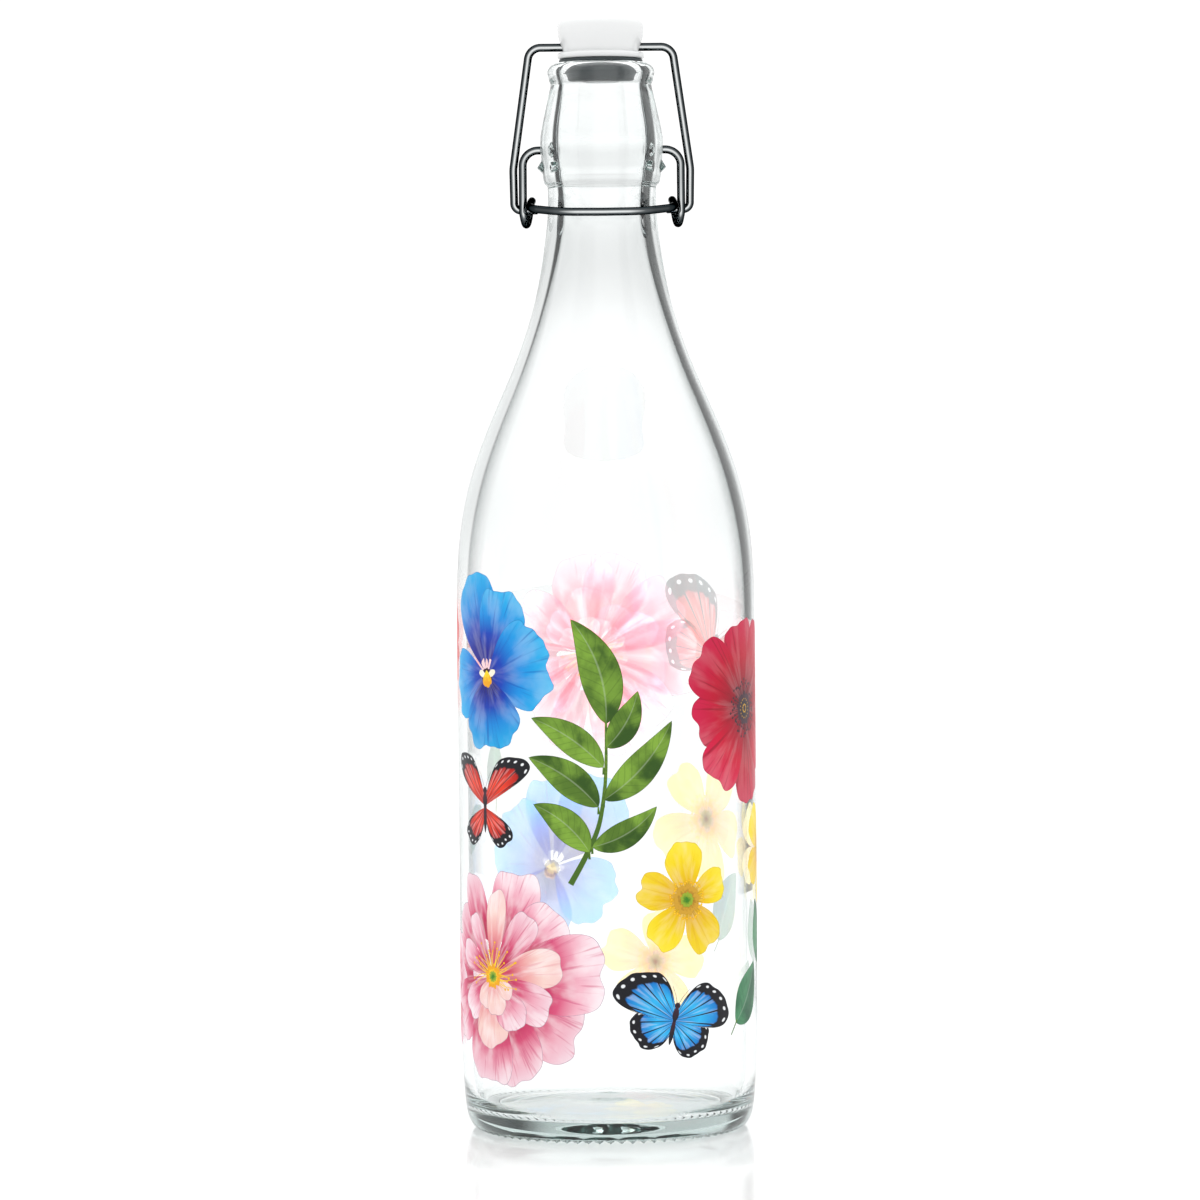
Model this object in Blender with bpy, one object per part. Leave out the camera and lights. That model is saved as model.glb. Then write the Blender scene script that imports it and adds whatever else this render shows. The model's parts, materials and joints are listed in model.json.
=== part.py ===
"""Swing-top bottle: glass bottle, stopper with its gasket, bail wire and lever wire.

Metres, +Z up. The bottle stands on Z = 0 with its axis on Z, and the lever's thumb bar is at -Y.
Lengths below are written in millimetres and multiplied by MM where a mesh is made.
"""

import math

import bmesh
import bpy
from mathutils import Vector

MM = 0.001
GAP = 0.3  # between touching pieces

# Bottle, outside
HEIGHT = 302.3  # top of the lip
BODY_R = 42.5
BODY_TOP = 150.0
HEEL_R = 37.6  # outer edge of the flat resting ring
RING_IN_R = 32.5  # inner edge of the flat resting ring
NECK_R = 15.4
NECK_TOP = 268.0
COLLAR_R = 17.5
LIP_R = 15.2

# Bottle, inside
WALL = 2.8
PUNT = 4.6  # height of the hollow under the base
FLOOR = 9.6  # inside floor on the axis
FLOOR_LOW = 5.8  # inside floor at its lowest ring
BORE_R = 10.7  # narrowest part of the neck
MOUTH_R = 10.2

# Wire closure
WIRE_R = 1.15
PIVOT_Z = 277.8  # lever pivots in the collar's dimples
DIMPLE_X = 14.8  # bottom of each dimple
EYE_Y = 1.2  # centre of the lever's eye, just behind the pivot
EYE_Z = 260.2
EYE_R = 3.3  # centre line of the eye's turn
ARM_X = 22.4  # lever arm beside the neck
EYE_PITCH = 2.55  # sideways step of the wire around the eye
THUMB_Y = -19.0  # thumb bar in front of the neck
THUMB_Z = 259.6
HOOK_Z = EYE_Z + EYE_R - 2 * WIRE_R - GAP  # bail end, held under the top of the eye
HOOK_END_X = 18.2
CROSSBAR_Z = 306.8  # bail bar through the stopper
BAIL_TOP_X = 20.2
BAIL_WIDE_X = 25.1
BAIL_WIDE_Z = 272.5
BAIL_LOW_X = 24.9

# Stopper and gasket
STOPPER_TOP = 315.6
STOPPER_R = 12.3
WAIST_R = 10.7
FLANGE_LOW = 303.9
FLANGE_TOP = 305.2
STEM_R = 4.0
BARB_R = 5.2
STEM_END = 295.2
GASKET_R = 12.4
GASKET_LOW = HEIGHT + GAP
GASKET_TOP = FLANGE_LOW - GAP
PLUG_TOP_R = 9.5
PLUG_END_R = 7.7
PLUG_END = 297.9

BOTTLE_SIDES = 40
STOPPER_SIDES = 32
WIRE_BEVEL_STEPS = 2


def arc(centre_r, centre_z, radius, start, end, steps):
    """Points (r, z) on a circle, from start to end degrees."""
    turn = [math.radians(start + (end - start) * i / steps) for i in range(steps + 1)]
    return [(centre_r + radius * math.cos(a), centre_z + radius * math.sin(a)) for a in turn]


def smooth(points, steps):
    """A Catmull-Rom curve through the points, with the given steps between two of them."""
    vectors = [Vector(p) for p in points]
    ends = [2 * vectors[0] - vectors[1]] + vectors + [2 * vectors[-1] - vectors[-2]]
    out = []
    for before, a, b, after in zip(ends, ends[1:], ends[2:], ends[3:]):
        for i in range(steps):
            t = i / steps
            out.append(tuple(
                0.5 * (2 * a + (b - before) * t + (2 * before - 5 * a + 4 * b - after) * t * t
                       + (3 * a - before - 3 * b + after) * t ** 3)))
    return out + [tuple(vectors[-1])]


def filleted(corners, steps=5):
    """A wire route through corners (point, bend radius), with each bend as an arc."""
    out = [Vector(corners[0][0])]
    for (a, _), (b, radius), (c, _) in zip(corners, corners[1:], corners[2:]):
        a, b, c = Vector(a), Vector(b), Vector(c)
        back, ahead = (a - b).normalized(), (c - b).normalized()
        half = back.angle(ahead) / 2
        reach = radius / math.tan(half)
        centre = b + (back + ahead).normalized() * radius / math.sin(half)
        first, last = b + back * reach - centre, b + ahead * reach - centre
        out += [centre + first.slerp(last, i / steps) * radius for i in range(steps + 1)]
    return out + [Vector(corners[-1][0])]


def material(name, colour, roughness, metallic=0.0, clear=0.0):
    made = bpy.data.materials.new(name)
    made.use_nodes = True
    shader = made.node_tree.nodes["Principled BSDF"]
    shader.inputs["Base Color"].default_value = (*colour, 1.0)
    shader.inputs["Roughness"].default_value = roughness
    shader.inputs["Metallic"].default_value = metallic
    shader.inputs["Transmission Weight"].default_value = clear
    return made


def add_object(name, data, look, origin=(0, 0, 0)):
    """Links an object whose data is in world millimetres times MM, with its origin moved."""
    made = bpy.data.objects.new(name, data)
    bpy.context.collection.objects.link(made)
    made.location = Vector(origin) * MM
    if look:
        data.materials.append(look)
    return made


def turned(name, profile, sides, look, origin=(0, 0, 0)):
    """A solid turned about Z. The profile (r, z) runs from the axis out, up and back to the axis."""
    mesh = bpy.data.meshes.new(name)
    shape = bmesh.new()
    shift = Vector(origin)
    rings = []
    for radius, z in profile:
        spots = [Vector((0, 0, z))] if radius < 1e-6 else [
            Vector((radius * math.cos(math.tau * i / sides), radius * math.sin(math.tau * i / sides), z))
            for i in range(sides)]
        rings.append([shape.verts.new((spot - shift) * MM) for spot in spots])
    for low, high in zip(rings, rings[1:]):
        for i in range(sides):
            j = (i + 1) % sides
            corners = [low[i % len(low)], low[j % len(low)], high[j % len(high)], high[i % len(high)]]
            shape.faces.new(list(dict.fromkeys(corners)))
    bmesh.ops.recalc_face_normals(shape, faces=shape.faces)
    shape.to_mesh(mesh)
    shape.free()
    made = add_object(name, mesh, look, origin)
    mesh.shade_smooth()
    mesh.set_sharp_from_angle(angle=math.radians(35))
    return made


def wire(name, route, look, origin):
    """A round wire along the route, with flat cut ends."""
    curve = bpy.data.curves.new(name, "CURVE")
    curve.dimensions = "3D"
    curve.bevel_depth = WIRE_R * MM
    curve.bevel_resolution = WIRE_BEVEL_STEPS
    curve.use_fill_caps = True
    line = curve.splines.new("POLY")
    line.points.add(len(route) - 1)
    for point, spot in zip(line.points, route):
        point.co = (*((Vector(spot) - Vector(origin)) * MM), 1.0)
    return add_object(name, curve, look, origin)


def cutter(name, radius, start, end, sides=16):
    """A round cutting tool between two points, left out of the model itself."""
    mesh = bpy.data.meshes.new(name)
    shape = bmesh.new()
    axis = Vector(end) - Vector(start)
    bmesh.ops.create_cone(
        shape, cap_ends=True, segments=sides, radius1=radius * MM, radius2=radius * MM,
        depth=axis.length * MM)
    shape.to_mesh(mesh)
    shape.free()
    made = add_object(name, mesh, None, (Vector(start) + Vector(end)) / 2)
    made.rotation_euler = axis.to_track_quat("Z", "Y").to_euler()
    made.hide_render = True
    made.display_type = "WIRE"
    return made


def combine(target, tool, operation):
    change = target.modifiers.new(tool.name, "BOOLEAN")
    change.operation = operation
    change.object = tool


def bottle_outside():
    """From the axis under the punt, out over the resting ring and up to the lip."""
    punt = smooth([(0, PUNT), (14, PUNT - 0.9), (25, PUNT - 3.0), (RING_IN_R, 0)], 2)
    heel = smooth([(HEEL_R, 0), (39.4, 1.3), (40.9, 5.0), (41.7, 13.0), (42.3, 28.0), (BODY_R, 40.0)], 2)
    shoulder = smooth(
        [(BODY_R, BODY_TOP), (41.8, 165.7), (38.9, 182.8), (32.8, 199.9), (25.2, 216.9),
         (19.4, 234.0), (16.8, 248.0), (NECK_R, 260.0)], 2)
    collar = [(NECK_R, NECK_TOP), (16.3, 269.6), (16.9, 272.4)]
    collar += smooth([(17.3, 276.0), (COLLAR_R, 280.0), (16.9, 284.3), (15.8, 289.4), (14.4, 295.6)], 2)
    lip = arc(LIP_R - 2.4, 299.6, 2.4, -25, 75, 5)
    return punt + heel + shoulder + collar + lip + [(LIP_R - 2.6, HEIGHT)]


def bottle_inside():
    """From the lip down the bore and the walls to the floor's centre."""
    mouth = [(MOUTH_R + 1.2, HEIGHT), (MOUTH_R + 0.35, HEIGHT - 0.4), (MOUTH_R, HEIGHT - 1.2)]
    walls = smooth(
        [(MOUTH_R, 295.0), (12.3, 285.0), (12.2, 276.0), (BORE_R, 263.0), (12.8, 248.0), (16.4, 234.5),
         (21.9, 217.0), (28.8, 201.0), (35.3, 184.0), (38.7, 167.0), (BODY_R - WALL, BODY_TOP)], 2)
    corner = smooth(
        [(BODY_R - WALL, 24.0), (39.2, 12.0), (37.6, 7.8), (33.6, FLOOR_LOW), (20.0, 7.6), (0, FLOOR)], 2)
    return mouth + walls + corner


def ledge(side, look):
    """The pointed ledge of glass under a pivot dimple, on one side of the collar."""
    outline = [(14.0, 277.0), (17.3, 275.9), (18.2, 272.6), (17.0, 270.5), (14.0, 269.4)]
    half_width = 2.6
    mesh = bpy.data.meshes.new(f"ledge_{side}")
    shape = bmesh.new()
    face = shape.faces.new([shape.verts.new((side * x * MM, -half_width * MM, z * MM)) for x, z in outline])
    grown = bmesh.ops.extrude_face_region(shape, geom=[face])["geom"]
    moved = [item for item in grown if isinstance(item, bmesh.types.BMVert)]
    bmesh.ops.translate(shape, verts=moved, vec=(0, 2 * half_width * MM, 0))
    bmesh.ops.recalc_face_normals(shape, faces=shape.faces)
    shape.to_mesh(mesh)
    shape.free()
    made = add_object(f"ledge_{side}", mesh, look)
    made.hide_render = True
    made.display_type = "WIRE"
    return made


def make_bottle():
    glass = material("clear_glass", (0.93, 0.97, 0.96), 0.02, clear=1.0)
    bottle = turned("glass_bottle", bottle_outside() + bottle_inside(), BOTTLE_SIDES, glass)
    for side in (1, -1):
        combine(bottle, ledge(side, glass), "UNION")
        hole = cutter(
            f"dimple_{side}", WIRE_R + GAP, (side * DIMPLE_X, 0, PIVOT_Z), (side * 30, 0, PIVOT_Z))
        combine(bottle, hole, "DIFFERENCE")


def make_stopper():
    porcelain = material("white_gloss", (0.92, 0.92, 0.90), 0.12)
    barb = [(0, STEM_END), (BARB_R - 1.0, STEM_END), (BARB_R, 296.6), (BARB_R, 297.3)]
    stem = [(STEM_R, 297.6), (STEM_R, FLANGE_LOW)]
    flange = [(12.0, FLANGE_LOW), (STOPPER_R, 304.2), (STOPPER_R, 304.9), (12.0, FLANGE_TOP)]
    head = smooth([(WAIST_R, FLANGE_TOP), (11.6, 308.2), (STOPPER_R, 311.8)], 2)
    crown = arc(STOPPER_R - 2.6, 312.9, 2.6, 0, 80, 4)
    top = [(8.0, STOPPER_TOP - 0.05), (0, STOPPER_TOP)]
    axis = (0, 0, CROSSBAR_Z)
    stopper = turned("stopper", barb + stem + flange + head + crown + top, STOPPER_SIDES, porcelain, axis)
    hole = cutter("crossbar_hole", WIRE_R + GAP, (-20, 0, CROSSBAR_Z), (20, 0, CROSSBAR_Z))
    combine(stopper, hole, "DIFFERENCE")


def make_gasket():
    rubber = material("grey_rubber", (0.10, 0.13, 0.14), 0.55)
    plug = [(STEM_R + GAP, PLUG_END), (PLUG_END_R, PLUG_END), (PLUG_TOP_R, GASKET_LOW)]
    flange = [(GASKET_R - 0.3, GASKET_LOW), (GASKET_R, GASKET_LOW + 0.3), (GASKET_R, GASKET_TOP - 0.3),
              (GASKET_R - 0.3, GASKET_TOP), (STEM_R + GAP, GASKET_TOP)]
    outline = plug + flange
    turned("gasket", outline + outline[:1], STOPPER_SIDES, rubber, (0, 0, CROSSBAR_Z))


def mirrored(route):
    """The whole wire, from the half that ends on the middle plane x = 0."""
    return route + [Vector((-p.x, p.y, p.z)) for p in reversed(route[:-1])]


def make_bail():
    steel = material("bail_steel", (0.72, 0.73, 0.74), 0.12, metallic=1.0)
    half = filleted([
        ((HOOK_END_X, EYE_Y, HOOK_Z), 0),
        ((BAIL_LOW_X, EYE_Y, HOOK_Z), 2.0),
        ((BAIL_WIDE_X, EYE_Y * 0.74, BAIL_WIDE_Z), 12.0),
        ((BAIL_TOP_X, 0, CROSSBAR_Z), 3.6),
        ((0, 0, CROSSBAR_Z), 0),
    ])
    wire("bail_wire", mirrored(half), steel, (0, EYE_Y, HOOK_Z))


def eye_turn(steps=14):
    """Three quarters of a turn, from the front of the eye under and behind it to its top."""
    out = []
    for i in range(steps + 1):
        share = i / steps
        angle = math.radians(180 + 270 * share)
        out.append(Vector((ARM_X - EYE_PITCH * share,
                           EYE_Y + EYE_R * math.cos(angle), EYE_Z + EYE_R * math.sin(angle))))
    return out


def make_lever():
    steel = material("lever_steel", (0.72, 0.73, 0.74), 0.12, metallic=1.0)
    turn = eye_turn()
    arm = filleted([
        ((DIMPLE_X + 2 * GAP, 0, PIVOT_Z), 0),
        ((ARM_X, 0, PIVOT_Z), 4.4),
        ((ARM_X, -0.9, PIVOT_Z - 8.0), 20.0),
        (turn[0], 0),
    ])
    eye_top_x = ARM_X - EYE_PITCH
    bar = filleted([
        (turn[-1], 0),
        ((eye_top_x, -3.0, EYE_Z + EYE_R - 0.1), 12.0),
        ((20.6, THUMB_Y + 6.4, THUMB_Z + 1.3), 5.0),
        ((11.0, THUMB_Y + 0.6, THUMB_Z + 0.1), 16.0),
        ((0, THUMB_Y, THUMB_Z), 0),
    ])
    wire("lever_wire", mirrored(arm[:-1] + turn[:-1] + bar), steel, (0, 0, PIVOT_Z))


def main():
    for old in list(bpy.data.objects):
        bpy.data.objects.remove(old)
    make_bottle()
    make_stopper()
    make_gasket()
    make_bail()
    make_lever()


main()
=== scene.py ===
"""Looks of the swing-top bottle: clear glass with fired-on flowers, white stopper, bright wire closure."""
import json
import math

import bmesh
import bpy
import numpy as np
from mathutils import Matrix, Quaternion, Vector


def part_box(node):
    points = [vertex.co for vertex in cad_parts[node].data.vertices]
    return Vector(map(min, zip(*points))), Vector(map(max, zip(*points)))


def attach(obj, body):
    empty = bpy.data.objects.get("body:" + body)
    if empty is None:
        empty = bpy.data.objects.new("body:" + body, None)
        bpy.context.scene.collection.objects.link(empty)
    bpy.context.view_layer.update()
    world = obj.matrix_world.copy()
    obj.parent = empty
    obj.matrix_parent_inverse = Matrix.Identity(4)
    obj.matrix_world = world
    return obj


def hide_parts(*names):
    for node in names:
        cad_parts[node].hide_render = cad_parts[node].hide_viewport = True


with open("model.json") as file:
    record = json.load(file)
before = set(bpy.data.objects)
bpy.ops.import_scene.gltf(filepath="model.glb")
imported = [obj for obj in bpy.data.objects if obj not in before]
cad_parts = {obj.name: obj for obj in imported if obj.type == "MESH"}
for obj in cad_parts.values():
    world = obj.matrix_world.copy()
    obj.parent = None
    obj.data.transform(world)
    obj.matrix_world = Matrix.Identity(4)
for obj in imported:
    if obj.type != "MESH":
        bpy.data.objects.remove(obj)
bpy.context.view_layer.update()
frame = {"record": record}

MM = 0.001

# ---------------------------------------------------------------- sizes, in millimetres
glass_low, glass_high = (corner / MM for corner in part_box("glass_bottle"))
INK = 0.16  # the most that the print stands off the glass
LOWEST_LAYER, LAYER = 0.008, 0.0052  # stand-off of its first layer, and its step to each next one
UNDERSIDE_VEIL = 0.42  # how much paler the print is when seen from inside, through the glass
# painted light: UNDERSIDE_GLOW lifts the print's underside brighter than its paint lets through
UNDERSIDE_GLOW = 1.38  # makes up for the daylight that its overlapping layers hold back
BODY_R = (glass_high.x - glass_low.x) / 2 - INK
HEIGHT = glass_high.z
RING_IN_R, RING_OUT_R = 32.5, 37.6  # flat ring that the bottle stands on
NECK_R = 15.4
LIP_R = 15.2
MOUTH_R = 10.2
TEETH = 76  # moulded teeth around the heel
SEGMENTS = 4 * TEETH

joints = {joint["name"]: joint for joint in frame["record"]["behaviour"]["joints"]}
PIVOT = Vector(joints["lever_swing"]["pos_m"]) / MM
HOOK = Vector(joints["bail_swing"]["pos_m"]) / MM
CROSSBAR = Vector(joints["stopper_tilt"]["pos_m"]) / MM
WIRE_R = 1.15


# ---------------------------------------------------------------- curves and meshes
def smooth(points, steps):
    """A Catmull-Rom curve through the points, with the given steps between two of them."""
    points = [np.array(p, float) for p in points]
    ends = [2 * points[0] - points[1]] + points + [2 * points[-1] - points[-2]]
    out = []
    for before, a, b, after in zip(ends, ends[1:], ends[2:], ends[3:]):
        for i in range(steps):
            t = i / steps
            out.append(0.5 * (2 * a + (b - before) * t + (2 * before - 5 * a + 4 * b - after) * t * t
                              + (3 * a - before - 3 * b + after) * t ** 3))
    return out + [points[-1]]


def eased(points, blurs):
    """A curve close to the points, with its bends evened out along it.

    blurs holds (height, millimetres) pairs: over what length the curve is evened out at each height.
    """
    line = np.array(smooth(points, 16))
    reach = np.concatenate(([0], np.cumsum(np.linalg.norm(np.diff(line, axis=0), axis=1))))
    at = np.linspace(0, reach[-1], int(reach[-1]))
    line = np.column_stack([np.interp(at, reach, line[:, i]) for i in (0, 1)])
    margin = np.arange(1, 25)[:, None]
    before = line[0] + margin[::-1] * (line[0] - line[1])
    after = line[-1] + margin * (line[-1] - line[-2])
    padded = np.vstack((before, line, after))
    place = np.arange(len(padded))
    heights, widths = zip(*sorted(blurs))
    blur = np.interp(line[:, 1], heights, widths)[:, None]
    weights = np.exp(-0.5 * ((place[None, :] - place[24:-24, None]) / blur) ** 2)
    line = weights @ padded / weights.sum(axis=1)[:, None]
    return [*line[:-1:2], line[-1]]


def arc(centre_r, centre_z, radius, start, end, steps):
    """Points (r, z) on a circle, from start to end degrees."""
    turn = [math.radians(start + (end - start) * i / steps) for i in range(steps + 1)]
    return [np.array((centre_r + radius * math.cos(a), centre_z + radius * math.sin(a))) for a in turn]


def filleted(corners, steps=14):
    """A wire route through corners (point, bend radius), with each bend as an arc."""
    out = [Vector(corners[0][0])]
    for (a, _), (b, radius), (c, _) in zip(corners, corners[1:], corners[2:]):
        a, b, c = Vector(a), Vector(b), Vector(c)
        back, ahead = (a - b).normalized(), (c - b).normalized()
        half = back.angle(ahead) / 2
        reach = radius / math.tan(half)
        centre = b + (back + ahead).normalized() * radius / math.sin(half)
        first, last = b + back * reach - centre, b + ahead * reach - centre
        out += [centre + first.slerp(last, i / steps) * radius for i in range(steps + 1)]
    return out + [Vector(corners[-1][0])]


def add_mesh(name, verts, faces, look):
    """A smooth-shaded object from vertices in millimetres."""
    mesh = bpy.data.meshes.new(name)
    mesh.from_pydata([tuple(v) for v in np.asarray(verts) * MM], [], faces)
    mesh.materials.append(look)
    mesh.shade_smooth()
    mesh.validate()
    made = bpy.data.objects.new(name, mesh)
    bpy.context.collection.objects.link(made)
    return made


def turned(name, profile, sides, look, shape=None):
    """A body turned about Z, with its profile (r, z) running from the axis out, up and back to the axis.

    shape, if given, moves the ring points: it takes and returns radius and height arrays.
    """
    angle = np.arange(sides) * math.tau / sides
    verts, rings = [], []
    for radius, z in profile:
        if radius < 1e-6:
            rings.append([len(verts)])
            verts.append((0, 0, z))
            continue
        radii, heights = np.full(sides, float(radius)), np.full(sides, float(z))
        if shape:
            radii, heights = shape(radii, heights, angle)
        rings.append(list(range(len(verts), len(verts) + sides)))
        verts += list(zip(radii * np.cos(angle), radii * np.sin(angle), heights))
    faces = []
    for low, high in zip(rings, rings[1:]):
        for i in range(sides):
            j = (i + 1) % sides
            corners = [low[i % len(low)], low[j % len(low)], high[j % len(high)], high[i % len(high)]]
            faces.append(list(dict.fromkeys(corners)))
    return add_mesh(name, verts, faces, look)


def tube(name, route, look, radius=WIRE_R, sides=24, rounding=0.25):
    """A round wire along the route, with its cut ends slightly rounded."""
    route = [Vector(p) for p in route]
    start, end = (route[0] - route[1]).normalized(), (route[-1] - route[-2]).normalized()
    spine = [(route[0], radius - rounding)]
    for share in (0.4, 1.0):
        spine.append((route[0] - start * rounding * share, radius - rounding * (1 - share) ** 2))
    spine += [(p, radius) for p in route[1:-1]]
    for share in (1.0, 0.4):
        spine.append((route[-1] - end * rounding * share, radius - rounding * (1 - share) ** 2))
    spine += [(route[-1], radius - rounding)]
    verts, faces = [], []
    side = start.orthogonal().normalized()
    for i, (p, r) in enumerate(spine):
        ahead = (spine[min(i + 1, len(spine) - 1)][0] - spine[max(i - 1, 0)][0]).normalized()
        side = (side - ahead * side.dot(ahead)).normalized()
        other = ahead.cross(side)
        for k in range(sides):
            a = math.tau * k / sides
            verts.append(p + (side * math.cos(a) + other * math.sin(a)) * r)
    for i in range(len(spine) - 1):
        for k in range(sides):
            j = (k + 1) % sides
            faces.append([i * sides + k, i * sides + j, (i + 1) * sides + j, (i + 1) * sides + k])
    faces.append(list(range(sides))[::-1])
    faces.append([(len(spine) - 1) * sides + k for k in range(sides)])
    return add_mesh(name, verts, faces, look)


# ---------------------------------------------------------------- materials
def new_material(name):
    """An empty node material: its nodes, its link call, its Principled shader and its output."""
    made = bpy.data.materials.new(name)
    made.use_nodes = True
    nodes = made.node_tree.nodes
    return made, nodes, made.node_tree.links.new, nodes["Principled BSDF"], nodes["Material Output"]


def add_bump(nodes, link, shader, height, strength, distance):
    bump = nodes.new("ShaderNodeBump")
    bump.inputs["Strength"].default_value = strength
    bump.inputs["Distance"].default_value = distance
    link(height, bump.inputs["Height"])
    link(bump.outputs["Normal"], shader.inputs["Normal"])


def add_noise(nodes, link, scale, detail=3.0, stretch=(1, 1, 1)):
    """Object-space noise. Its scale counts per metre."""
    place = nodes.new("ShaderNodeTexCoord")
    mapping = nodes.new("ShaderNodeMapping")
    mapping.inputs["Scale"].default_value = stretch
    noise = nodes.new("ShaderNodeTexNoise")
    noise.inputs["Scale"].default_value = scale
    noise.inputs["Detail"].default_value = detail
    link(place.outputs["Object"], mapping.inputs["Vector"])
    link(mapping.outputs["Vector"], noise.inputs["Vector"])
    return noise.outputs["Fac"]


def spread(nodes, link, source, low, high):
    """Maps a 0..1 value to low..high."""
    change = nodes.new("ShaderNodeMapRange")
    change.inputs["To Min"].default_value = low
    change.inputs["To Max"].default_value = high
    link(source, change.inputs["Value"])
    return change.outputs["Result"]


def glass_material():
    """Clear soda-lime glass, grey-green in thick parts, with painted shade: its colour darkens where steep
    walls turn edge-on to the view.
    """
    made, nodes, link, shader, output = new_material("clear_glass")
    shader.inputs["Roughness"].default_value = 0.0
    shader.inputs["IOR"].default_value = 1.5
    shader.inputs["Transmission Weight"].default_value = 1.0
    # painted shade: the glass colour darkens where steep walls turn edge-on to the view
    slant = nodes.new("ShaderNodeLayerWeight")
    slant.inputs["Blend"].default_value = 0.5
    split = nodes.new("ShaderNodeSeparateXYZ")
    link(nodes.new("ShaderNodeNewGeometry").outputs["Normal"], split.inputs[0])
    steep = ranged(nodes, link, maths(nodes, link, "ABSOLUTE", split.outputs["Z"]), 0.80, 0.50)
    painted_edge_shade = maths(nodes, link, "MULTIPLY", slant.outputs["Facing"], steep)
    painted_shading_colour = ramped(nodes, link, painted_edge_shade, [
        (0.0, 0.99, 0.995, 0.995), (0.62, 0.97, 0.98, 0.98), (0.84, 0.62, 0.66, 0.66),
        (0.95, 0.12, 0.15, 0.15), (1.0, 0.02, 0.03, 0.03)])
    link(painted_shading_colour, shader.inputs["Base Color"])
    add_bump(nodes, link, shader, add_noise(nodes, link, 28, 1.5, (1, 1, 0.6)), 0.04, 0.0012)
    height = nodes.new("ShaderNodeSeparateXYZ")
    link(nodes.new("ShaderNodeTexCoord").outputs["Object"], height.inputs[0])
    unevenness = ranged(nodes, link, height.outputs["Z"], 0.018, 0.05, 0.0, 0.04)  # none in the base
    link(unevenness, nodes["Bump"].inputs["Strength"])
    body = nodes.new("ShaderNodeVolumeAbsorption")
    body.inputs["Color"].default_value = (0.25, 0.45, 0.42, 1)
    body.inputs["Density"].default_value = 11
    link(body.outputs["Volume"], output.inputs["Volume"])
    open_air = nodes.new("ShaderNodeBsdfTransparent")
    open_air.inputs["Color"].default_value = (0.95, 0.965, 0.965, 1)
    path = nodes.new("ShaderNodeLightPath")
    mix = nodes.new("ShaderNodeMixShader")
    link(path.outputs["Is Shadow Ray"], mix.inputs["Fac"])
    link(shader.outputs["BSDF"], mix.inputs[1])
    link(open_air.outputs["BSDF"], mix.inputs[2])
    link(mix.outputs["Shader"], output.inputs["Surface"])
    return made


def wire_material():
    """Dark bright-drawn steel wire, with faint drawing marks, a painted highlight down its middle and painted
    shade towards its edges.
    """
    made, nodes, link, shader, _ = new_material("bright_wire_painted_highlight")
    # painted highlight down the middle of each wire where it faces the view, fading into painted shade towards
    # its edges
    slant = nodes.new("ShaderNodeLayerWeight")
    slant.inputs["Blend"].default_value = 0.5
    painted_shading_colour = ramped(nodes, link, slant.outputs["Facing"], [
        (0.0, 0.78, 0.80, 0.80), (0.02, 0.50, 0.52, 0.52), (0.07, 0.10, 0.11, 0.115),
        (0.22, 0.022, 0.027, 0.029), (1.0, 0.004, 0.006, 0.007)])
    link(painted_shading_colour, shader.inputs["Base Color"])
    shader.inputs["Metallic"].default_value = 1.0
    # painted shade: the dark edge tint keeps the wire dark out to its outline
    shader.inputs["Specular Tint"].default_value = (0.06, 0.07, 0.07, 1)
    marks = add_noise(nodes, link, 900, 4.0)
    link(spread(nodes, link, marks, 0.04, 0.15), shader.inputs["Roughness"])
    add_bump(nodes, link, shader, marks, 0.08, 0.0001)
    return made


def stopper_material():
    """Glossy white moulding with a slightly uneven skin."""
    made, nodes, link, shader, _ = new_material("white_stopper")
    shader.inputs["Base Color"].default_value = (0.80, 0.81, 0.81, 1)
    skin = add_noise(nodes, link, 220, 3.0)
    link(spread(nodes, link, skin, 0.08, 0.20), shader.inputs["Roughness"])
    add_bump(nodes, link, shader, skin, 0.10, 0.0004)
    return made


def gasket_material():
    """Dark grey rubber with a fine bloom."""
    made, nodes, link, shader, _ = new_material("grey_rubber")
    bloom = add_noise(nodes, link, 500, 5.0)
    ramp = nodes.new("ShaderNodeValToRGB")
    ramp.color_ramp.elements[0].color = (0.018, 0.026, 0.029, 1)
    ramp.color_ramp.elements[1].color = (0.060, 0.078, 0.082, 1)
    link(bloom, ramp.inputs["Fac"])
    link(ramp.outputs["Color"], shader.inputs["Base Color"])
    link(spread(nodes, link, bloom, 0.38, 0.62), shader.inputs["Roughness"])
    add_bump(nodes, link, shader, bloom, 0.25, 0.0002)
    return made


# ---------------------------------------------------------------- bottle
def outer_wall():
    """Heel, straight body and shoulder, from the standing ring up to the bottom of the collar."""
    heel = smooth(
        [(RING_OUT_R, 0), (39.4, 1.3), (40.9, 5.0), (41.7, 13.0), (42.3, 28.0), (BODY_R, 40.0)], 9)
    body = [(BODY_R, 40.0 + 10 * i) for i in range(1, 9)]
    shoulder = eased(
        [(BODY_R, 124.0), (BODY_R, 138.0), (BODY_R, 150.0), (41.8, 165.7), (38.9, 182.8), (32.8, 199.9),
         (25.2, 216.9), (19.4, 234.0), (16.8, 248.0), (NECK_R, 260.0), (NECK_R, 266.8)],
        [(240, 6.0), (258, 2.5)])
    return heel + body + shoulder


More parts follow.
